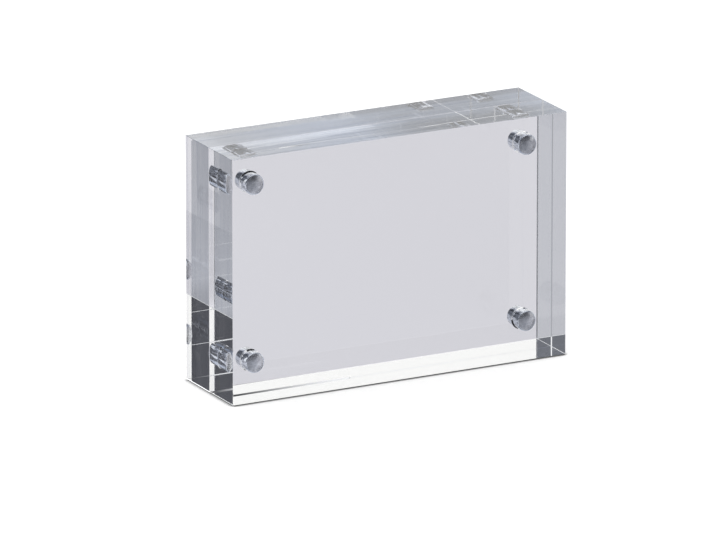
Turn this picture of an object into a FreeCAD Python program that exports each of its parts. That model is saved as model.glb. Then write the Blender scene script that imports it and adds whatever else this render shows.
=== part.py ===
import FreeCAD, Part
import math
import os
import Sketcher

# Desk photo frame: two equal clear slabs held face to face by four pairs of disc magnets.
# X runs along the width, the front face looks along -Y and +Z is up.
# The origin is on the surface that the frame stands on, under the middle of the closed frame.

os.makedirs("parts", exist_ok=True)
doc = FreeCAD.newDocument("block_frame")

sizes = {
    # slabs
    "slab_width": 89.0,
    "slab_height": 60.0,
    "slab_thickness": 12.0,
    "edge_break": 0.12,
    "mating_gap": 0.1,
    # magnets, and their distance from each edge of the slab
    "magnet_diameter": 5.0,
    "magnet_length": 4.5,
    "magnet_edge_break": 0.25,
    "magnet_inset": 8.2,
    # flat-bottomed bores that hold the magnets
    "bore_clearance": 0.08,
    "bore_mouth_break": 0.2,
    # adhesive under each magnet; round it, the adhesive fills the bore up to its mouth
    "bond_thickness": 0.12,
}

sheet = doc.addObject("Spreadsheet::Sheet", "sizes")
for row, (name, value) in enumerate(sizes.items(), start=1):
    sheet.set(f"A{row}", name)
    sheet.set(f"B{row}", str(value))
    sheet.setAlias(f"B{row}", name)
doc.recompute()

# Each magnet stands proud of its slab by half the gap, so that a pair meets in its middle.
bore_diameter = "sizes.magnet_diameter + 2 * sizes.bore_clearance"
bore_depth = "sizes.magnet_length + sizes.bond_thickness - sizes.mating_gap / 2"
column_spacing = "sizes.slab_width - 2 * sizes.magnet_inset"
row_spacing = "sizes.slab_height - 2 * sizes.magnet_inset"
seat_depth = "sizes.magnet_length - sizes.mating_gap / 2 - sizes.bore_mouth_break"


def add_body(name):
    body = doc.addObject("PartDesign::Body", name)
    body.Label = name
    return body


def add_sketch(body, name):
    """A sketch on the body's XZ plane. Its axes run along X and Z, and it looks along -Y."""
    sketch = body.newObject("Sketcher::SketchObject", name)
    planes = [feature for feature in body.Origin.OriginFeatures if feature.Role == "XZ_Plane"]
    sketch.AttachmentSupport = [(planes[0], "")]
    sketch.MapMode = "FlatFace"
    return sketch


def add_size(sketch, name, expression, *constraint):
    """A driving dimension of the sketch, bound to the sheet."""
    index = sketch.addConstraint(Sketcher.Constraint(*constraint))
    sketch.renameConstraint(index, name)
    sketch.setExpression(f"Constraints.{name}", expression)


def draw_slab_face(sketch):
    """A rectangle that stands on the X axis and is centred on the Z axis."""
    x = sizes["slab_width"] / 2
    z = sizes["slab_height"]
    corners = [(-x, 0), (x, 0), (x, z), (-x, z)]
    for start, end in zip(corners, corners[1:] + corners[:1]):
        sketch.addGeometry(Part.LineSegment(FreeCAD.Vector(*start), FreeCAD.Vector(*end)), False)
    bottom, right, top, left = range(4)
    for line, following in ((bottom, right), (right, top), (top, left), (left, bottom)):
        sketch.addConstraint(Sketcher.Constraint("Coincident", line, 2, following, 1))
    sketch.addConstraint(Sketcher.Constraint("Horizontal", top))
    sketch.addConstraint(Sketcher.Constraint("Vertical", right))
    sketch.addConstraint(Sketcher.Constraint("Vertical", left))
    sketch.addConstraint(Sketcher.Constraint("Symmetric", bottom, 1, bottom, 2, -2))
    sketch.addConstraint(Sketcher.Constraint("PointOnObject", bottom, 1, -1))
    add_size(sketch, "width", "sizes.slab_width", "DistanceX", bottom, 1, bottom, 2, 2 * x)
    add_size(sketch, "height", "sizes.slab_height", "DistanceY", right, 1, right, 2, z)


def draw_disc(sketch, expression):
    """A circle about the sketch's origin."""
    radius = sizes["magnet_diameter"] / 2
    sketch.addGeometry(Part.Circle(FreeCAD.Vector(), FreeCAD.Vector(0, 0, 1), radius), False)
    sketch.addConstraint(Sketcher.Constraint("Coincident", 0, 3, -1, 1))
    add_size(sketch, "diameter", expression, "Diameter", 0, 2 * radius)


def draw_first_bore(sketch):
    """A circle at the place of the bore in the lower left corner."""
    x = sizes["magnet_inset"] - sizes["slab_width"] / 2
    z = sizes["magnet_inset"]
    radius = sizes["magnet_diameter"] / 2
    sketch.addGeometry(Part.Circle(FreeCAD.Vector(x, z), FreeCAD.Vector(0, 0, 1), radius), False)
    add_size(sketch, "across", f"({column_spacing}) / 2", "DistanceX", 0, 3, -1, 1, -x)
    add_size(sketch, "up", "sizes.magnet_inset", "DistanceY", -1, 1, 0, 3, z)
    add_size(sketch, "diameter", bore_diameter, "Diameter", 0, 2 * radius)


def add_pad(body, sketch, expression):
    """The solid grows from the sketch towards -Y."""
    pad = body.newObject("PartDesign::Pad", f"{body.Name}_pad")
    pad.Profile = sketch
    pad.setExpression("Length", expression)
    doc.recompute()
    return pad


def add_pattern(body, sketch, direction, expression):
    pattern = body.newObject("PartDesign::LinearPattern", f"{body.Name}_{direction}_pattern")
    pattern.Direction = (sketch, [direction])
    pattern.setExpression("Length", expression)
    pattern.Occurrences = 2
    return pattern


def make_slab(name):
    """A slab whose mating face lies on its own XZ plane, with a bore near each corner of that face."""
    body = add_body(name)
    face = add_sketch(body, f"{name}_face")
    draw_slab_face(face)
    pad = add_pad(body, face, "sizes.slab_thickness")

    chamfer = body.newObject("PartDesign::Chamfer", f"{name}_edge_breaks")
    chamfer.Base = (pad, [f"Edge{number}" for number in range(1, len(pad.Shape.Edges) + 1)])
    chamfer.setExpression("Size", "sizes.edge_break")

    centre = add_sketch(body, f"{name}_first_bore")
    draw_first_bore(centre)
    doc.recompute()

    bore = body.newObject("PartDesign::Hole", f"{name}_bore")
    bore.Profile = centre
    bore.Reversed = True
    doc.recompute()
    bore.DepthType = "Dimension"
    bore.DrillPoint = "Flat"
    bore.HoleCutType = "Countersink"
    bore.HoleCutCountersinkAngle = 90
    bore.setExpression("Diameter", bore_diameter)
    bore.setExpression("Depth", bore_depth)
    bore.setExpression("HoleCutDiameter", f"{bore_diameter} + 2 * sizes.bore_mouth_break")

    corners = body.newObject("PartDesign::MultiTransform", f"{name}_bores")
    corners.Originals = [bore]
    corners.Transformations = [
        add_pattern(body, centre, "H_Axis", column_spacing),
        add_pattern(body, centre, "V_Axis", row_spacing),
    ]
    body.Tip = corners
    doc.recompute()

    radius = sizes["magnet_diameter"] / 2 + sizes["bore_clearance"]
    depth = sizes["magnet_length"] + sizes["bond_thickness"] - sizes["mating_gap"] / 2
    if chamfer.Shape.Volume - body.Shape.Volume < 4 * math.pi * radius**2 * depth:
        raise RuntimeError(f"{name}: a bore is missing")
    return body


def make_magnet(name):
    """A short rod with broken edges. It meets its partner on its own XZ plane."""
    body = add_body(name)
    outline = add_sketch(body, f"{name}_outline")
    draw_disc(outline, "sizes.magnet_diameter")
    pad = add_pad(body, outline, "sizes.magnet_length")
    chamfer = body.newObject("PartDesign::Chamfer", f"{name}_edge_breaks")
    ends = [
        f"Edge{number}"
        for number, edge in enumerate(pad.Shape.Edges, start=1)
        if isinstance(edge.Curve, Part.Circle)
    ]
    chamfer.Base = (pad, ends)
    chamfer.setExpression("Size", "sizes.magnet_edge_break")
    return body


def make_bond(name):
    """A cup of adhesive that lines a bore and takes the magnet. Its rim lies on its own XZ plane."""
    body = add_body(name)
    outline = add_sketch(body, f"{name}_outline")
    draw_disc(outline, bore_diameter)
    add_pad(body, outline, f"{seat_depth} + sizes.bond_thickness")

    mouth = add_sketch(body, f"{name}_mouth")
    draw_disc(mouth, "sizes.magnet_diameter")
    seat = body.newObject("PartDesign::Pocket", f"{name}_seat")
    seat.Profile = mouth
    seat.Reversed = True
    seat.setExpression("Length", seat_depth)
    doc.recompute()

    radius = sizes["magnet_diameter"] / 2
    chamfer = body.newObject("PartDesign::Chamfer", f"{name}_seat_corner")
    corner = [
        f"Edge{number}"
        for number, edge in enumerate(seat.Shape.Edges, start=1)
        if isinstance(edge.Curve, Part.Circle) and abs(edge.Curve.Radius - radius) < 1e-6
        and abs(edge.Curve.Center.y) > 1e-6
    ]
    chamfer.Base = (seat, corner)
    chamfer.setExpression("Size", "sizes.magnet_edge_break")
    doc.recompute()
    if body.Shape.Volume < seat.Shape.Volume:
        raise RuntimeError(f"{name}: the corner of the seat is not filled")
    return body


def place(body, side, across, back, up):
    """The front pieces stand as drawn. The rear pieces are turned half round the Z axis."""
    turn = {"front": 0, "rear": 180}[side]
    sign = {"front": "-", "rear": ""}[side]
    body.Placement.Rotation = FreeCAD.Rotation(FreeCAD.Vector(0, 0, 1), turn)
    body.setExpression(".Placement.Base.x", across)
    body.setExpression(".Placement.Base.y", f"{sign}({back})")
    body.setExpression(".Placement.Base.z", up)


columns = {"left": f"-({column_spacing}) / 2", "right": f"({column_spacing}) / 2"}
rows = {"lower": "sizes.magnet_inset", "upper": "sizes.slab_height - sizes.magnet_inset"}

bodies = []
for side in ("front", "rear"):
    slab = make_slab(f"{side}_block")
    place(slab, side, "0", "sizes.mating_gap / 2", "0")
    bodies.append(slab)
    for level, up in rows.items():
        for hand, across in columns.items():
            magnet = make_magnet(f"{side}_magnet_{level}_{hand}")
            place(magnet, side, across, "0", up)
            bond = make_bond(f"{side}_bond_{level}_{hand}")
            place(bond, side, across, "sizes.mating_gap / 2 + sizes.bore_mouth_break", up)
            bodies += [magnet, bond]

doc.recompute()

for item in doc.Objects:
    if {"Invalid", "Error"} & set(item.State):
        raise RuntimeError(f"{item.Name}: {item.State}")
for body in bodies:
    if body.Shape.isNull() or not body.Shape.isValid() or len(body.Shape.Solids) != 1:
        raise RuntimeError(f"{body.Label}: no valid solid")

for body in bodies:
    body.Shape.exportStep(f"parts/{body.Label}.step")
    box = body.Shape.BoundBox
    print(
        f"{body.Label}: {body.Shape.Volume:.2f} mm3,"
        f" x {box.XMin:.2f}..{box.XMax:.2f}, y {box.YMin:.2f}..{box.YMax:.2f}, z {box.ZMin:.2f}..{box.ZMax:.2f}"
    )
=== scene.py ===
import math
import bpy
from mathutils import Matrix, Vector


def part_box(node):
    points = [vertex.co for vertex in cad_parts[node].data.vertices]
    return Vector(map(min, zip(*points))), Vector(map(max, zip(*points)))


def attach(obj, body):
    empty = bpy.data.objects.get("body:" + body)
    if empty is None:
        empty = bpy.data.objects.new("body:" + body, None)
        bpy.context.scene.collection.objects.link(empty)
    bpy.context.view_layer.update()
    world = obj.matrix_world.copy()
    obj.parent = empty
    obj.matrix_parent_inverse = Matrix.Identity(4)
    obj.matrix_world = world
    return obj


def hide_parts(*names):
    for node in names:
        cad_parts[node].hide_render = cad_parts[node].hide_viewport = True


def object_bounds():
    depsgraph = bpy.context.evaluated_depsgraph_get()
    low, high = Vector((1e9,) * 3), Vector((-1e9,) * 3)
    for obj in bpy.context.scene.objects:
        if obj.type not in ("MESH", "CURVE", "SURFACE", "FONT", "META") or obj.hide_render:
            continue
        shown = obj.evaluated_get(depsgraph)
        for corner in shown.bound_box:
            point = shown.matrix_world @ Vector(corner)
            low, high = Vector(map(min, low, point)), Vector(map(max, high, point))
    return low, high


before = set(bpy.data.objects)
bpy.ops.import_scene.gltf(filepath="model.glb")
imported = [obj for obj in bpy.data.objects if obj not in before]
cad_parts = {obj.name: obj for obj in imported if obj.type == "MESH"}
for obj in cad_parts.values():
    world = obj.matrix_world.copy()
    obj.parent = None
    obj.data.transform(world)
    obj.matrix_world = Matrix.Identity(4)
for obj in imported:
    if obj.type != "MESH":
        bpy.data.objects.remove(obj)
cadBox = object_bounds()

mm = 0.001
white = (1, 1, 1, 1)
outward = {"front": -1, "rear": 1}      # way from the mating plane to the outer face of each slab
corners = [f"{level}_{hand}" for level in ("lower", "upper") for hand in ("left", "right")]


def clearSelection():
    if bpy.context.object and bpy.context.object.mode != "OBJECT":
        bpy.ops.object.mode_set(mode="OBJECT")
    bpy.ops.object.select_all(action="DESELECT")


def makeActive(piece):
    clearSelection()
    piece.select_set(True)
    bpy.context.view_layer.objects.active = piece


def takeNew(name):
    piece = bpy.context.object
    piece.name = name
    piece.data.name = name
    makeActive(piece)
    bpy.ops.object.transform_apply(location=True, rotation=True, scale=True)
    return piece


def addRod(name, centre, radius, first, last, steps):
    bpy.ops.object.select_all(action="DESELECT")
    place = (centre.x, (first + last) / 2, centre.z)
    bpy.ops.mesh.primitive_cylinder_add(
        vertices=steps, radius=radius, depth=abs(last - first), location=place, rotation=(math.pi / 2, 0, 0))
    return takeNew(name)


def editFaces(piece, test):
    makeActive(piece)
    for vertex in piece.data.vertices:
        vertex.select = False
    for edge in piece.data.edges:
        edge.select = False
    for face in piece.data.polygons:
        face.select = test(face)
    bpy.ops.object.mode_set(mode="EDIT")
    bpy.ops.mesh.select_mode(type="FACE")


def finishEdit():
    bpy.ops.object.mode_set(mode="OBJECT")


def bevelRims(piece, test, offset, segments):
    editFaces(piece, test)
    bpy.ops.mesh.select_mode(type="EDGE")
    bpy.ops.mesh.region_to_loop()
    bpy.ops.mesh.bevel(offset=offset, segments=segments, affect="EDGES")
    finishEdit()


def finishPiece(piece, side, node, materials, degrees):
    piece.data.materials.clear()
    for material in materials:
        piece.data.materials.append(material)
    makeActive(piece)
    bpy.ops.object.shade_smooth_by_angle(angle=math.radians(degrees))
    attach(piece, side)
    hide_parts(node)


def newMaterial(name):
    material = bpy.data.materials.new(name)
    material.use_nodes = True
    return material, material.node_tree, material.node_tree.nodes["Principled BSDF"]


def newGroup(name, sockets):
    tree = bpy.data.node_groups.new(name, "ShaderNodeTree")
    for label, way, kind in sockets:
        tree.interface.new_socket(name=label, in_out=way, socket_type=kind)
    return tree, tree.nodes.new("NodeGroupOutput")


def useGroup(tree, group):
    node = tree.nodes.new("ShaderNodeGroup")
    node.node_tree = group
    return node


def setInput(tree, socket, value):
    if isinstance(value, bpy.types.NodeSocket):
        tree.links.new(value, socket)
    else:
        socket.default_value = value


def addMath(tree, operation, *values):
    node = tree.nodes.new("ShaderNodeMath")
    node.operation = operation
    for socket, value in zip(node.inputs, values):
        setInput(tree, socket, value)
    return node.outputs[0]


# While the value crosses the span, the result turns from the first number into the last one.
def addFade(tree, value, span, first, last):
    node = tree.nodes.new("ShaderNodeMapRange")
    node.interpolation_type = "SMOOTHSTEP"
    labels = ("Value", "From Min", "From Max", "To Min", "To Max")
    for label, number in zip(labels, (value, *span, first, last)):
        setInput(tree, node.inputs[label], number)
    return node.outputs["Result"]


mixSockets = {"FLOAT": (2, 3, 0), "RGBA": (6, 7, 2)}      # both inputs and the output of each kind of mix


def addMix(tree, kind, factor, first, last):
    node = tree.nodes.new("ShaderNodeMix")
    node.data_type = kind
    firstInput, lastInput, output = mixSockets[kind]
    for index, value in ((0, factor), (firstInput, first), (lastInput, last)):
        setInput(tree, node.inputs[index], value)
    return node.outputs[output]


def addSplit(tree, vector):
    node = tree.nodes.new("ShaderNodeSeparateXYZ")
    tree.links.new(vector, node.inputs[0])
    return node.outputs


def addPlace(tree):
    return tree.nodes.new("ShaderNodeTexCoord").outputs


def addNoise(tree, vector, scale, detail):
    node = tree.nodes.new("ShaderNodeTexNoise")
    node.inputs["Scale"].default_value = scale
    node.inputs["Detail"].default_value = detail
    tree.links.new(vector, node.inputs["Vector"])
    return node.outputs["Fac"]


# Noise that is drawn out into grains of the given length along each axis.
def addGrain(tree, vector, lengths, detail):
    stretch = tree.nodes.new("ShaderNodeMapping")
    stretch.inputs["Scale"].default_value = [1 / length for length in lengths]
    tree.links.new(vector, stretch.inputs["Vector"])
    return addNoise(tree, stretch.outputs[0], 1, detail)


def addBump(tree, height, distance):
    bump = tree.nodes.new("ShaderNodeBump")
    bump.inputs["Strength"].default_value = 1
    setInput(tree, bump.inputs["Distance"], distance)
    tree.links.new(height, bump.inputs["Height"])
    return bump.outputs[0]


slab = {
    "edgeBreak": 0.3 * mm,       # the widest break; each kind of edge has a share of it
    "breakShares": {
        "keen": 0.14,            # most edges
        "sharp": 0.0,            # the other lower edges at the seam, and the line where the painted shade ends
        "foot": 0.5,             # the front slab's lower front edge
        "seam": 0.8,             # the front slab's lower inner edge, as far as the painted shade goes
        "rearFade": 0.14,           # the rear slab's lower rear edge, under the same painted shade and glow
        "leftGround": 1.0,       # the lower edges of the left end
        "rightGround": 0.27,     # the lower edges of the right end
        "end": 0.6,              # the outer upright edges of the right end
        "middle": 0.8,           # the front slab's inner upright edge of the right end
        "behind": 0.07,          # the rear slab's inner upright edge of the right end
    },
    "mouthBreak": 0.2 * mm,      # broken edge at the mouth of each bore
    "boreSteps": 96,
    "cutterOverrun": 1 * mm,
    "wetting": 0.005 * mm,       # the acrylic and its adhesive reach this far into the metal
    "slant": 0.3,                # a face whose normal has two components above this is a broken edge
    "smoothAngle": 10,
    "tint": (0.985, 0.99, 0.995, 1),
    "ior": 1.51,
    "roughness": 0.0,
    "waveHeight": 0.0015 * mm,   # low waves that polishing leaves on the cut edges
    "topWaves": 32.0,            # height of the waves on the upper faces, as a multiple
    "waveWidth": 2.5 * mm,
    "waveLength": 45 * mm,
    "waveDetail": 1,
    "streakWidth": 0.7 * mm,
    "streakLength": 38 * mm,
    "streakDetail": 3,
    "streakSpan": (0.45, 0.68),  # values of the noise between which a streak fades in
    "streakTint": (0.53, 0.58, 0.68, 1),
    "sideStreaks": 0.45,         # strength of the streaks on the ends, as a share of those on top
    "cutSpan": (0.3, 0.6),       # a face that looks along Y by less than this is a cut one
    "groundRoughness": 0.7,
    # near white: the ground edges' own colour, and the colour of their painted glow
    "ground": (0.9, 0.91, 0.93, 1),
    "groundGlow": 0.5,           # painted glow: light that the slab gathers and gives off at its ground edges
    # painted shade, with a faint painted glow, on the outer upright edges of the right end
    "endShade": (0.85, 0.86, 0.9, 1),
    "endGlow": 0.09,
    # painted shade on the outside of the front slab's foot edge, which glows as painted light through the
    # slab
    "footShade": (0.22, 0.22, 0.23, 1),
    "leftGlow": 1.4,             # painted highlight: the lower edges of the left end glow, as they face the light
    "leftShade": (0.1, 0.1, 0.106, 1),
    "fadingGlow": 1.0,
    # near black: the painted shade at the left end of the lower seam edges, and the base colour of the fading
    # edges
    "edgeDark": (0.01, 0.01, 0.012, 1),
    "shadeEnd": -10 * mm,         # the painted shade along the lower edges fades into painted glow from the left end to here
    # grey painted shade, glowing, on the middle edge above the floor's reach
    "middleShade": (0.37, 0.38, 0.41, 1),
    "footLight": (2.3 * mm, 2.6 * mm),      # up to here the middle edge has a near-white painted glow, standing for the floor's light on it
}


def makeWaves():
    tree, given = newGroup("polishWaves", (
        ("Color", "OUTPUT", "NodeSocketColor"),
        ("Normal", "OUTPUT", "NodeSocketVector"),
    ))
    place = addPlace(tree)
    up = addSplit(tree, place["Object"])[2]
    top = cadBox[1][2]
    low = top - slab["edgeBreak"]
    height = addFade(tree, up, (low - slab["edgeBreak"], low),
                     slab["waveHeight"], slab["waveHeight"] * slab["topWaves"])
    waveLengths = (slab["waveLength"], slab["waveWidth"], slab["waveLength"])
    wave = addGrain(tree, place["Object"], waveLengths, slab["waveDetail"])
    tree.links.new(addBump(tree, wave, height), given.inputs["Normal"])

    streakLengths = (slab["streakLength"], slab["streakWidth"], slab["streakLength"])
    grain = addGrain(tree, place["Object"], streakLengths, slab["streakDetail"])
    streak = addFade(tree, grain, slab["streakSpan"], 0.0, 1.0)
    most = addFade(tree, up, (low, top), slab["sideStreaks"], 1.0)
    facing = addMath(tree, "ABSOLUTE", addSplit(tree, place["Normal"])[1])
    share = addMath(tree, "MULTIPLY", streak, addFade(tree, facing, slab["cutSpan"], most, 0.0))
    tree.links.new(addMix(tree, "RGBA", share, slab["tint"], slab["streakTint"]), given.inputs["Color"])
    return tree


def makeAcrylic(name, waves, tint):
    material, tree, surface = newMaterial(name)
    polish = useGroup(tree, waves)
    surface.inputs["Roughness"].default_value = slab["roughness"]
    surface.inputs["Transmission Weight"].default_value = 1.0
    surface.inputs["IOR"].default_value = slab["ior"]
    tree.links.new(polish.outputs["Normal"], surface.inputs["Normal"])
    setInput(tree, surface.inputs["Base Color"], tint or polish.outputs["Color"])
    return material


def newEdge(name, glow):
    material, tree, surface = newMaterial(name)
    surface.inputs["Roughness"].default_value = slab["groundRoughness"]
    surface.inputs["Emission Strength"].default_value = glow
    return material, tree, surface


def makeDullEdge(name, color, glow):
    material, _, surface = newEdge(name, glow)
    surface.inputs["Base Color"].default_value = color
    surface.inputs["Emission Color"].default_value = color
    return material


# One colour shows from outside the slab, and the other through it.
def makeTwoSided(name, outer, inner, glow):
    material, tree, surface = newEdge(name, glow)
    geometry = tree.nodes.new("ShaderNodeNewGeometry")
    color = addMix(tree, "RGBA", geometry.outputs["Backfacing"], outer, inner)
    tree.links.new(color, surface.inputs["Base Color"])
    tree.links.new(color, surface.inputs["Emission Color"])
    return material


# The edge glows with painted light, which changes colour along one axis, over a near-black colour of its own.
def makeFadingEdge(name, axis, span, first, last):
    material, tree, surface = newEdge(name, slab["fadingGlow"])
    along = addSplit(tree, addPlace(tree)["Object"])[axis]
    color = addMix(tree, "RGBA", addFade(tree, along, span, 0.0, 1.0), first, last)
    tree.links.new(color, surface.inputs["Emission Color"])
    surface.inputs["Base Color"].default_value = slab["edgeDark"]
    return material


# The cutter leaves a bore with a countersunk mouth and the rounded corner of the magnet at its bottom.
def makeCutter(side, corner):
    low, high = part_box(f"{side}_magnet_{corner}")
    centre = (low + high) / 2
    away = outward[side]
    radius = (high.x - low.x) / 2 - slab["wetting"]
    bottom = (low.y if side == "front" else high.y) - away * slab["wetting"]
    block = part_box(f"{side}_block")
    mating = block[1].y if side == "front" else block[0].y
    top = mating + away * slab["mouthBreak"]
    cutter = addRod(f"{side}_cutter_{corner}", centre, radius, top, bottom, slab["boreSteps"])
    bevelRims(cutter, lambda face: abs(face.center.y - bottom) < slab["wetting"],
              magnet["rimRadius"], magnet["rimSegments"])
    editFaces(cutter, lambda face: abs(face.center.y - top) < slab["wetting"])
    grow = (radius + slab["mouthBreak"]) / radius
    bpy.ops.mesh.extrude_region_move(TRANSFORM_OT_translate={"value": (0, -away * slab["mouthBreak"], 0)})
    bpy.ops.transform.resize(value=(grow, 1, grow), center_override=(centre.x, mating, centre.z))
    bpy.ops.mesh.extrude_region_move(TRANSFORM_OT_translate={"value": (0, -away * slab["cutterOverrun"], 0)})
    finishEdit()
    return cutter


def edgeKind(side, low, high, place):
    nearEnd = high.x - abs(place.x) < slab["edgeBreak"]
    right = place.x > 0
    nearFloor = place.z - low.z < slab["edgeBreak"]
    nearTop = high.z - place.z < slab["edgeBreak"]
    mating, outer = (high.y, low.y) if side == "front" else (low.y, high.y)
    nearMating = abs(place.y - mating) < slab["edgeBreak"]
    nearOuter = abs(place.y - outer) < slab["edgeBreak"]
    if abs(place.x - slab["shadeEnd"]) < slab["edgeBreak"]:
        return "sharp"
    if nearFloor and nearEnd:
        return "rightGround" if right else "leftGround"
    if nearFloor and nearMating:
        return "seam" if side == "front" and place.x < slab["shadeEnd"] else "sharp"
    if nearFloor and nearOuter:
        return "foot" if side == "front" else "rearFade"
    if nearEnd and nearOuter and right and not nearTop:
        return "end"
    if nearEnd and nearMating and right and not nearTop:
        return "middle" if side == "front" else "behind"
    return "keen"


def breakEdges(piece, side, low, high):
    weights = piece.data.attributes.new("bevel_weight_edge", "FLOAT", "EDGE")
    points = piece.data.vertices
    for edge in piece.data.edges:
        middle = (points[edge.vertices[0]].co + points[edge.vertices[1]].co) / 2
        weights.data[edge.index].value = slab["breakShares"][edgeKind(side, low, high, middle)]
    makeActive(piece)
    modifier = piece.modifiers.new("edgeBreaks", "BEVEL")
    modifier.limit_method = "WEIGHT"
    modifier.width = slab["edgeBreak"]
    modifier.segments = 1
    bpy.ops.object.modifier_apply(modifier=modifier.name)


def boreSlab(piece, side):
    for corner in corners:
        cutter = makeCutter(side, corner)
        makeActive(piece)
        modifier = piece.modifiers.new("bore", "BOOLEAN")
        modifier.operation = "DIFFERENCE"
        modifier.solver = "EXACT"
        modifier.object = cutter
        bpy.ops.object.modifier_apply(modifier=modifier.name)
        bpy.data.objects.remove(cutter)


# Painted shade: a near-black finish on arcs in the mouths of the bores, where the gap at the seam lies in
# shade.
mouthShade = {
    "color": (0.012, 0.012, 0.016, 1),
    "roughness": 0.6,
    "arcs": {                    # where the painted shade sits in the mouths of the bores, in degrees from +X
        "upper_left": (45, 140),
        "lower_left": (62, 110),
        "lower_right": (185, 250),
    },
}


def makeMouthShade():
    material, _, surface = newMaterial("paintedMouthShade")
    surface.inputs["Base Color"].default_value = mouthShade["color"]
    surface.inputs["Roughness"].default_value = mouthShade["roughness"]
    return material


def arcHolds(side, face):
    for corner, (first, last) in mouthShade["arcs"].items():
        low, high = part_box(f"{side}_magnet_{corner}")
        centre = (low + high) / 2
        offset = Vector((face.center.x - centre.x, 0, face.center.z - centre.z))
        turn = math.degrees(math.atan2(offset.z, offset.x)) % 360
        if offset.length < high.x - low.x and first <= turn <= last:
            return True
    return False


def finishEdges(piece, side, low, high):
    mating = high.y if side == "front" else low.y
    for face in piece.data.polygons:
        place = face.center
        slanted = sum(abs(part) > slab["slant"] for part in face.normal) > 1
        reach = min(high.x - abs(place.x), place.y - low.y, high.y - place.y, place.z - low.z,
                    high.z - place.z)
        nearMating = abs(place.y - mating) < slab["mouthBreak"]
        inMouth = slanted and nearMating and abs(face.normal.y) > slab["slant"]
        # arcs in the bore mouths take the painted shade
        if inMouth and arcHolds(side, face):
            face.material_index = slabFinishes.index(paintedMouthShade)
        elif slanted and reach < slab["edgeBreak"]:
            face.material_index = slabFinishes.index(edgeFinishes[edgeKind(side, low, high, place)])


def makeSlab(side):
    low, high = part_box(f"{side}_block")
    bpy.ops.object.select_all(action="DESELECT")
    bpy.ops.mesh.primitive_cube_add(size=1, location=(low + high) / 2, scale=high - low)
    piece = takeNew(f"{side}_slab")
    editFaces(piece, lambda face: True)
    bpy.ops.mesh.bisect(plane_co=(slab["shadeEnd"], 0, 0), plane_no=(1, 0, 0))
    finishEdit()
    breakEdges(piece, side, low, high)
    boreSlab(piece, side)
    finishPiece(piece, side, f"{side}_block", slabFinishes, slab["smoothAngle"])
    finishEdges(piece, side, low, high)


magnet = {
    "rimRadius": 0.3 * mm,
    "rimSegments": 6,
    "flatRadius": 2.25 * mm,
    "flatNormal": 0.999,         # a face that looks along Y by more than this is a flat end
    "steps": 96,
    "smoothAngle": 20,
    "nickel": (0.84, 0.84, 0.86, 1),
    "stain": (0.64, 0.64, 0.67, 1),
    "stainLayers": ((1100, 4, 0.7), (5200, 2, 0.3)),      # scale per metre, detail and weight
    "stainSpan": (0.42, 0.6),
    "faceRoughness": 0.2,
    "dome": 0.14,                # lean of the face at the edge of its flat, as a slope
    "side": (0.76, 0.8, 0.88, 1),
    "roughness": 0.1,
    "scuff": (0.38, 0.4, 0.44, 1),          # marks along the axis, left by pressing the magnet in
    "scuffWidth": 0.35 * mm,
    "scuffLength": 5 * mm,
    "scuffDetail": 3,
    "scuffSpan": (0.5, 0.6),
    "sideSpan": (0.05, 0.25),    # the scuffs end where the rim turns towards Y by this much
}


def makeStains():
    tree, given = newGroup("nickelStains", (("Color", "OUTPUT", "NodeSocketColor"),))
    place = addPlace(tree)["Object"]
    layers = [
        addMath(tree, "MULTIPLY", addNoise(tree, place, scale, detail), weight)
        for scale, detail, weight in magnet["stainLayers"]
    ]
    shade = addFade(tree, addMath(tree, "ADD", *layers), magnet["stainSpan"], 0.0, 1.0)
    tree.links.new(addMix(tree, "RGBA", shade, magnet["stain"], magnet["nickel"]), given.inputs["Color"])
    return tree


def makeNickelSide():
    material, tree, surface = newMaterial("nickelPlate")
    surface.inputs["Metallic"].default_value = 1.0
    surface.inputs["Roughness"].default_value = magnet["roughness"]
    place = addPlace(tree)
    lengths = (magnet["scuffWidth"], magnet["scuffLength"], magnet["scuffWidth"])
    grain = addGrain(tree, place["Object"], lengths, magnet["scuffDetail"])
    scuff = addFade(tree, grain, magnet["scuffSpan"], 0.0, 1.0)
    facing = addMath(tree, "ABSOLUTE", addSplit(tree, place["Normal"])[1])
    share = addMath(tree, "MULTIPLY", scuff, addFade(tree, facing, magnet["sideSpan"], 1.0, 0.0))
    color = addMix(tree, "RGBA", share, magnet["side"], magnet["scuff"])
    tree.links.new(color, surface.inputs["Base Color"])
    return material


# The flat ends are domed about the axis of each magnet, and the frame's middle planes mirror the axes.
def makeNickelFace(stains):
    material, tree, surface = newMaterial("nickelFace")
    surface.inputs["Metallic"].default_value = 1.0
    surface.inputs["Roughness"].default_value = magnet["faceRoughness"]
    tree.links.new(useGroup(tree, stains).outputs["Color"], surface.inputs["Base Color"])
    place = addSplit(tree, addPlace(tree)["Object"])
    low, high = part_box("front_magnet_upper_right")
    axis = (low + high) / 2
    middle = cadBox[1][2] / 2
    across = addMath(tree, "SUBTRACT", addMath(tree, "ABSOLUTE", place[0]), axis.x)
    level = addMath(tree, "ABSOLUTE", addMath(tree, "SUBTRACT", place[2], middle))
    along = addMath(tree, "SUBTRACT", level, axis.z - middle)
    square = addMath(tree, "ADD", *(addMath(tree, "POWER", part, 2) for part in (across, along)))
    height = addMath(tree, "MULTIPLY", square, -magnet["dome"] / (2 * magnet["flatRadius"]))
    tree.links.new(addBump(tree, height, 1), surface.inputs["Normal"])
    return material


def isFlat(face):
    return abs(face.normal.y) > magnet["flatNormal"]


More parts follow.
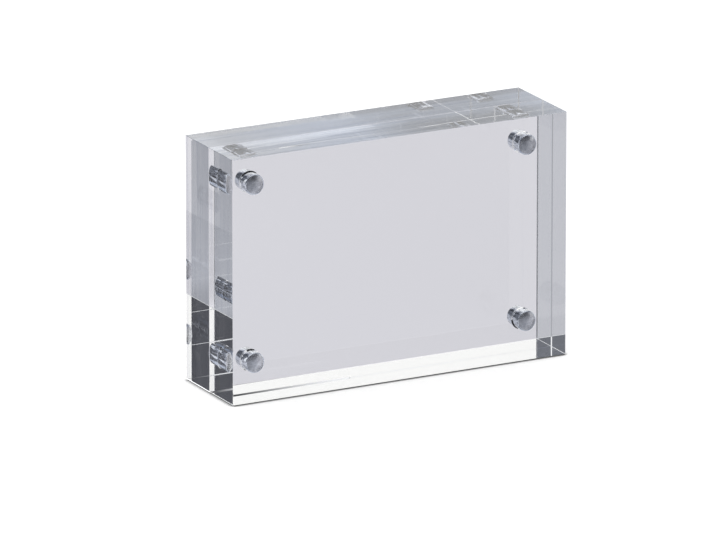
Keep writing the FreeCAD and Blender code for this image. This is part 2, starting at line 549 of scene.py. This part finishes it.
def makeMagnet(side, corner):
    low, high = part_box(f"{side}_magnet_{corner}")
    radius = (high.x - low.x) / 2
    name = f"{side}_disc_magnet_{corner}"
    piece = addRod(name, (low + high) / 2, radius, low.y, high.y, magnet["steps"])
    bevelRims(piece, isFlat, magnet["rimRadius"], magnet["rimSegments"])
    finishes = (nickelSide, nickelFace)
    finishPiece(piece, side, f"{side}_magnet_{corner}", finishes, magnet["smoothAngle"])
    for face in piece.data.polygons:
        face.material_index = finishes.index(nickelFace if isFlat(face) else nickelSide)


film = {
    "thickness": 0.05 * mm,
    "radius": 2.2 * mm,
    "inset": 0.005 * mm,
    "steps": 64,
    "smoothAngle": 20,
    "color": (0.93, 0.94, 0.95, 1),
    "ior": 1.5,
    "cloudScale": 1700,          # per metre
    "cloudDetail": 3,
    "cloudSpan": (0.45, 0.65),
    "cloudRoughness": 0.25,
}


def makeFilm():
    material, tree, surface = newMaterial("clearAdhesive")
    surface.inputs["Base Color"].default_value = film["color"]
    surface.inputs["Transmission Weight"].default_value = 1.0
    surface.inputs["IOR"].default_value = film["ior"]
    cloud = addNoise(tree, addPlace(tree)["Object"], film["cloudScale"], film["cloudDetail"])
    rough = addFade(tree, cloud, film["cloudSpan"], 0.0, film["cloudRoughness"])
    tree.links.new(rough, surface.inputs["Roughness"])
    return material


def makeGlue(side, corner):
    low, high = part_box(f"{side}_bond_{corner}")
    bottom = low.y if side == "front" else high.y
    first = bottom - outward[side] * film["inset"]
    last = bottom - outward[side] * (film["thickness"] - film["inset"])
    piece = addRod(f"{side}_glue_{corner}", (low + high) / 2, film["radius"], first, last, film["steps"])
    finishPiece(piece, side, f"{side}_bond_{corner}", (adhesive,), film["smoothAngle"])


waves = makeWaves()
acrylic = makeAcrylic("clearAcrylic", waves, None)
keenEdge = makeAcrylic("keenEdge", waves, slab["tint"])
# The seam's lower edges carry painted shade at the left end, which fades into painted glow.
seamShadeGlow = makeFadingEdge("seamShadeGlow", 0, (cadBox[0][0], slab["shadeEnd"]), slab["edgeDark"], slab["ground"])
# Most of these finishes paint light and shade onto the broken edges: painted glow on the ground edges,
# painted shade on the foot and the right end, and the seam's painted shade fading into painted glow.
edgeFinishes = {
    "keen": keenEdge,
    "sharp": keenEdge,
    "foot": makeTwoSided("footEdge", slab["footShade"], slab["ground"], slab["groundGlow"]),
    "seam": seamShadeGlow,
    "rearFade": seamShadeGlow,
    "leftGround": makeTwoSided("leftGroundEdge", slab["ground"], slab["leftShade"], slab["leftGlow"]),
    "rightGround": makeDullEdge("groundEdge", slab["ground"], slab["groundGlow"]),
    "end": makeDullEdge("endEdge", slab["endShade"], slab["endGlow"]),
    "middle": makeFadingEdge("middleEdge", 2, slab["footLight"], slab["ground"], slab["middleShade"]),
    "behind": keenEdge,
}
nickelSide = makeNickelSide()
nickelFace = makeNickelFace(makeStains())
paintedMouthShade = makeMouthShade()
adhesive = makeFilm()
slabFinishes = [acrylic, paintedMouthShade, *dict.fromkeys(edgeFinishes.values())]
print("materials made")

for side in outward:
    makeSlab(side)
    for corner in corners:
        makeMagnet(side, corner)
        makeGlue(side, corner)
print("slabs cut and magnets seated")


# Glass and metal see this light. A span in millimetres is a place on the floor, and a plain one is a part
# of the direction of sight, or the cosine of an angle to it.
light = {
    "dark": 0.022,
    "panel": 1.08,               # a bright wall behind the frame, to its right
    "panelAzimuth": 65,          # its middle, in degrees from +Y towards +X
    "panelSpan": (0.15, 0.5),
    "weak": 0.15,
    "weakAzimuth": -60,
    "weakSpan": (0.6, 0.8),
    "overhead": 1.0,
    "overheadSpan": (0.5, 0.8),
    "back": 0.7,                 # floor behind the frame
    "backDim": 0.28,             # less of it towards the left
    "backDimSpan": (-0.4, 0.0),
    "front": 0.375,              # floor before the frame, seen along the middle of the view
    "frontMiddle": 0.447,
    "frontSlope": 0.8,
    "frontLeast": 0.26,
    "frontBright": 0.9,          # the same floor, seen towards the left
    "frontBrightSpan": (-0.4, -0.12),
    "turnSpan": (-0.3, 0.3),     # the floor before the frame turns into the floor behind it
    "leftBright": 0.8,           # floor on the far left
    "leftBrightSpan": (-0.8, -0.5),
    "steep": 0.6,                # floor, seen from straight above
    "steepSpan": (-0.85, -0.6),
    "tones": (                   # colour of the light at each strength
        (0.0, (0.88, 1.0, 1.45, 1)), (0.1, (0.95, 1.0, 1.15, 1)), (0.35, (0.97, 1.0, 1.1, 1)),
        (0.72, (1.02, 1.0, 1.05, 1)), (1.0, (1.03, 1.02, 1.0, 1)),
    ),
    "fall": (0.93, 1.12),        # brightness of the floor from well before the frame up to it
    "fallSpan": (-160 * mm, -10 * mm),
    "rise": 0.12,                # less of it at the frame
    "riseSpan": (-20 * mm, 12 * mm),
    "far": 0.04,                 # more of it behind the frame
    "farSpan": (20 * mm, 160 * mm),
    "contactFrom": 1.8 * mm,     # painted contact shadow: before the frame, the floor darkens from here to its foot
    "contactLeast": 0.35,
    "nearLeft": 1.4,             # how much brighter the floor before the frame is at its left end
    "nearSpan": (-30 * mm, 110 * mm),
    "nearTurn": (-0.05, 0.05),
    "under": 0.54,               # painted shadow: the floor beneath the frame, at its middle
    "underLeft": 0.16,           # more at the left end
    "underLeftSpan": (-22 * mm, -14 * mm),
    "underRight": 0.36,          # less at the right end, under the front slab
    "underRearRight": 0.2,       # and under the rear slab
    "underRightSpan": (10 * mm, 36 * mm),
    "seamSpan": (-1 * mm, 1 * mm),
    "depthShares": (0.88, 0.5),  # shares of all this, at the front and at the back
    "depthSpan": (3.8 * mm, 5.4 * mm),
    "stripFrom": (-9.5 * mm, -5 * mm),      # a lighter strip of the floor beneath the front slab
    "stripTo": (-4 * mm, -1 * mm),
    "stripGain": 0.15,
    "stripRight": 0.1,           # and more of it at the right end
    "underSteep": 0.82,          # floor beneath the frame, seen from straight above
    "underColors": ((0.96, 1.0, 1.1, 1), (0.88, 1.0, 1.25, 1)),      # at the left end and at the right end
    "underColorSpan": (-25 * mm, 10 * mm),
}


def addLobe(tree, direction, azimuth, span, strength):
    dot = tree.nodes.new("ShaderNodeVectorMath")
    dot.operation = "DOT_PRODUCT"
    dot.inputs[1].default_value = (math.sin(math.radians(azimuth)), math.cos(math.radians(azimuth)), 0)
    tree.links.new(direction, dot.inputs[0])
    return addFade(tree, dot.outputs["Value"], span, 0.0, strength)


def addUpper(tree, direction, z):
    wall = addLobe(tree, direction, light["panelAzimuth"], light["panelSpan"], light["panel"] - light["dark"])
    over = addFade(tree, z, light["overheadSpan"], 0.0, light["overhead"] - light["dark"])
    weak = addLobe(tree, direction, light["weakAzimuth"], light["weakSpan"], light["weak"])
    rest = addMath(tree, "ADD", weak, light["dark"])
    return addMath(tree, "ADD", addMath(tree, "MAXIMUM", wall, over), rest)


def addLower(tree, x, y, z):
    side = addMath(tree, "SUBTRACT", x, light["frontMiddle"])
    slope = addMath(tree, "MULTIPLY", side, light["frontSlope"])
    plain = addMath(tree, "MAXIMUM", addMath(tree, "ADD", slope, light["front"]), light["frontLeast"])
    clear = addFade(tree, x, light["frontBrightSpan"], light["frontBright"], 0.0)
    before = addMath(tree, "MAXIMUM", plain, clear)
    behind = addFade(tree, x, light["backDimSpan"], light["back"] * (1 - light["backDim"]), light["back"])
    level = addFade(tree, y, light["turnSpan"], before, behind)
    left = addFade(tree, x, light["leftBrightSpan"], light["leftBright"], 0.0)
    return addFade(tree, z, light["steepSpan"], light["steep"], addMath(tree, "MAXIMUM", level, left))


def makeLight():
    tree, given = newGroup("studioLight", (
        ("Direction", "INPUT", "NodeSocketVector"),
        ("Strength", "OUTPUT", "NodeSocketFloat"),
        ("Color", "OUTPUT", "NodeSocketColor"),
    ))
    direction = tree.nodes.new("NodeGroupInput").outputs["Direction"]
    x, y, z = addSplit(tree, direction)
    above = addMath(tree, "GREATER_THAN", z, 0.0)
    strength = addMix(tree, "FLOAT", above, addLower(tree, x, y, z), addUpper(tree, direction, z))
    tree.links.new(strength, given.inputs["Strength"])
    tone = tree.nodes.new("ShaderNodeValToRGB")
    steps = tone.color_ramp.elements
    while len(steps) < len(light["tones"]):
        steps.new(0.5)
    for step, (position, color) in zip(steps, light["tones"]):
        step.position = position
        step.color = color
    tree.links.new(strength, tone.inputs["Fac"])
    tree.links.new(tone.outputs["Color"], given.inputs["Color"])
    return tree


def addPath(tree):
    return tree.nodes.new("ShaderNodeLightPath").outputs


def addSeenMask(tree, path):
    return addMath(tree, "MAXIMUM", path["Is Glossy Ray"], path["Is Transmission Ray"])


# The floor round the frame as glass sees it, with a painted contact shadow before the frame's foot.
def addAround(tree, strength, sideways, x, y, aside):
    fall = addFade(tree, y, light["fallSpan"], *light["fall"])
    rise = addFade(tree, y, light["riseSpan"], 0.0, light["rise"])
    far = addFade(tree, y, light["farSpan"], 0.0, light["far"])
    factor = addMath(tree, "ADD", addMath(tree, "SUBTRACT", fall, rise), far)
    before = addMath(tree, "SUBTRACT", addMath(tree, "MULTIPLY", y, -1), cadBox[1][1])
    near = addFade(tree, before, (0.0, light["contactFrom"]), light["contactLeast"], 1.0)
    beside = addMath(tree, "GREATER_THAN", addMath(tree, "MAXIMUM", aside, y), 0.0)
    gain = addFade(tree, x, light["nearSpan"], light["nearLeft"], 1.0)
    gain = addFade(tree, sideways, light["nearTurn"], 1.0, gain)
    gain = addFade(tree, y, (cadBox[0][1], 0.0), gain, 1.0)
    share = addMath(tree, "MULTIPLY", addMath(tree, "MAXIMUM", near, beside), gain)
    return addMath(tree, "MULTIPLY", addMath(tree, "MULTIPLY", strength, factor), share)


# Painted shadow on the floor beneath the frame, as glass sees it.
def addBeneath(tree, x, y):
    rise = addFade(tree, y, light["stripFrom"], 0.0, 1.0)
    strip = addMath(tree, "MULTIPLY", rise, addFade(tree, y, light["stripTo"], 1.0, 0.0))
    left = addFade(tree, x, light["underLeftSpan"], light["under"] + light["underLeft"], light["under"])
    drop = addFade(tree, y, light["seamSpan"], light["underRight"], light["underRearRight"])
    drop = addMath(tree, "SUBTRACT", drop, addMath(tree, "MULTIPLY", strip, light["stripRight"]))
    right = addFade(tree, x, light["underRightSpan"], 0.0, drop)
    share = addFade(tree, y, light["depthSpan"], *light["depthShares"])
    share = addMath(tree, "ADD", share, addMath(tree, "MULTIPLY", strip, light["stripGain"]))
    return addMath(tree, "MULTIPLY", addMath(tree, "SUBTRACT", left, right), share)


studio = {
    "daylight": 1.0,             # strength of the even light on all that isn't glass or metal
    "floorDrop": 0.1 * mm,       # air under the polished lower faces
    "floorHalf": 3.0,
    "floorBase": 0.8,
    "floorRoughness": 0.9,
    "cameraLift": 0.45,
    "contactReach": 1.2 * mm,
    "contactPower": 2.0,
    "contactSamples": 8,
    "azimuth": 27.83,
    "elevation": 16.56,
    "distance": 2.65,
    "focalPixels": 11210,
    "imageSize": (716, 540),
    "blockCentrePixel": (376.9, 245.4),
    "sensor": 36.0,
    "clipEnd": 20,
    "bounces": 40,
}


# Painted contact shade: ambient occlusion near the frame darkens the floor's colour and its lift.
def addContact(tree):
    shade = tree.nodes.new("ShaderNodeAmbientOcclusion")
    shade.samples = studio["contactSamples"]
    shade.inputs["Distance"].default_value = studio["contactReach"]
    return addMath(tree, "POWER", shade.outputs["AO"], studio["contactPower"])


# The camera sees a plain pale floor, darkened by painted contact shade near the frame. Glass and metal see it
# glow with the studio's light painted on it, by direction and place.
def makeFloorFinish(lightMap):
    material, tree, surface = newMaterial("paleFloor")
    contact = addContact(tree)
    path = addPath(tree)
    lift = addMath(tree, "MULTIPLY", path["Is Camera Ray"], studio["cameraLift"])
    surface.inputs["Roughness"].default_value = studio["floorRoughness"]
    surface.inputs["Specular IOR Level"].default_value = 0.0
    surface.inputs["Emission Color"].default_value = white
    tree.links.new(addMath(tree, "MULTIPLY", contact, studio["floorBase"]), surface.inputs["Base Color"])
    tree.links.new(addMath(tree, "MULTIPLY", lift, contact), surface.inputs["Emission Strength"])

    turn = tree.nodes.new("ShaderNodeVectorMath")
    turn.operation = "SCALE"
    turn.inputs["Scale"].default_value = -1
    tree.links.new(tree.nodes.new("ShaderNodeNewGeometry").outputs["Incoming"], turn.inputs[0])
    seen = useGroup(tree, lightMap)
    tree.links.new(turn.outputs[0], seen.inputs["Direction"])
    sight = addSplit(tree, turn.outputs[0])
    steep = addFade(tree, sight[2], light["steepSpan"], 1.0, 0.0)

    x, y = addSplit(tree, addPlace(tree)["Object"])[:2]
    aside = addMath(tree, "SUBTRACT", addMath(tree, "ABSOLUTE", x), cadBox[1][0])
    apart = addMath(tree, "SUBTRACT", addMath(tree, "ABSOLUTE", y), cadBox[1][1])
    inside = addMath(tree, "LESS_THAN", addMath(tree, "MAXIMUM", aside, apart), 0.0)
    around = addAround(tree, seen.outputs["Strength"], sight[0], x, y, aside)
    beneath = addFade(tree, steep, (0.0, 1.0), addBeneath(tree, x, y), light["underSteep"])
    tint = addMix(tree, "RGBA", addFade(tree, x, light["underColorSpan"], 0.0, 1.0), *light["underColors"])
    plain = addMix(tree, "RGBA", steep, tint, white)
    glow = tree.nodes.new("ShaderNodeEmission")
    tree.links.new(addMix(tree, "FLOAT", inside, around, beneath), glow.inputs["Strength"])
    tree.links.new(addMix(tree, "RGBA", inside, seen.outputs["Color"], plain), glow.inputs["Color"])
    choose = tree.nodes.new("ShaderNodeMixShader")
    for socket, value in zip(choose.inputs, (addSeenMask(tree, path), surface.outputs[0], glow.outputs[0])):
        tree.links.new(value, socket)
    tree.links.new(choose.outputs[0], tree.nodes["Material Output"].inputs["Surface"])
    return material


def makeFloor(lightMap):
    bpy.ops.object.select_all(action="DESELECT")
    bpy.ops.mesh.primitive_plane_add(size=2 * studio["floorHalf"], location=(0, 0, -studio["floorDrop"]))
    piece = takeNew("studioFloor")
    piece.data.materials.append(makeFloorFinish(lightMap))


def makeWorld(lightMap):
    world = bpy.data.worlds.new("studioWorld")
    bpy.context.scene.world = world
    world.use_nodes = True
    tree = world.node_tree
    background = tree.nodes["Background"]
    seen = useGroup(tree, lightMap)
    tree.links.new(addPlace(tree)["Generated"], seen.inputs["Direction"])
    mask = addSeenMask(tree, addPath(tree))
    strength = addMix(tree, "FLOAT", mask, studio["daylight"], seen.outputs["Strength"])
    tree.links.new(strength, background.inputs["Strength"])
    tree.links.new(addMix(tree, "RGBA", mask, white, seen.outputs["Color"]), background.inputs["Color"])


def makeCamera():
    width, height = studio["imageSize"]
    azimuth = math.radians(studio["azimuth"])
    elevation = math.radians(studio["elevation"])
    flat = math.cos(elevation)
    look = Vector((math.sin(azimuth) * flat, math.cos(azimuth) * flat, -math.sin(elevation)))
    centre = (Vector(cadBox[0]) + Vector(cadBox[1])) / 2
    place = centre - look * studio["distance"]
    right = look.cross(Vector((0, 0, 1))).normalized()
    up = right.cross(look)
    pixel = studio["distance"] / studio["focalPixels"]
    across = (studio["blockCentrePixel"][0] - width / 2) * pixel
    down = (studio["blockCentrePixel"][1] - height / 2) * pixel
    target = centre - right * across + up * down
    camera = bpy.data.objects.new("camera", bpy.data.cameras.new("camera"))
    bpy.context.scene.collection.objects.link(camera)
    camera.location = place
    camera.rotation_euler = (target - place).to_track_quat("-Z", "Y").to_euler()
    camera.data.sensor_width = studio["sensor"]
    camera.data.lens = studio["focalPixels"] / width * studio["sensor"]
    camera.data.clip_end = studio["clipEnd"]
    bpy.context.scene.camera = camera


lightMap = makeLight()
makeFloor(lightMap)
makeWorld(lightMap)
makeCamera()
scene = bpy.context.scene
scene.view_settings.view_transform = "Standard"
scene.cycles.max_bounces = studio["bounces"]
scene.cycles.glossy_bounces = studio["bounces"]
scene.cycles.transmission_bounces = studio["bounces"]
print("studio set")
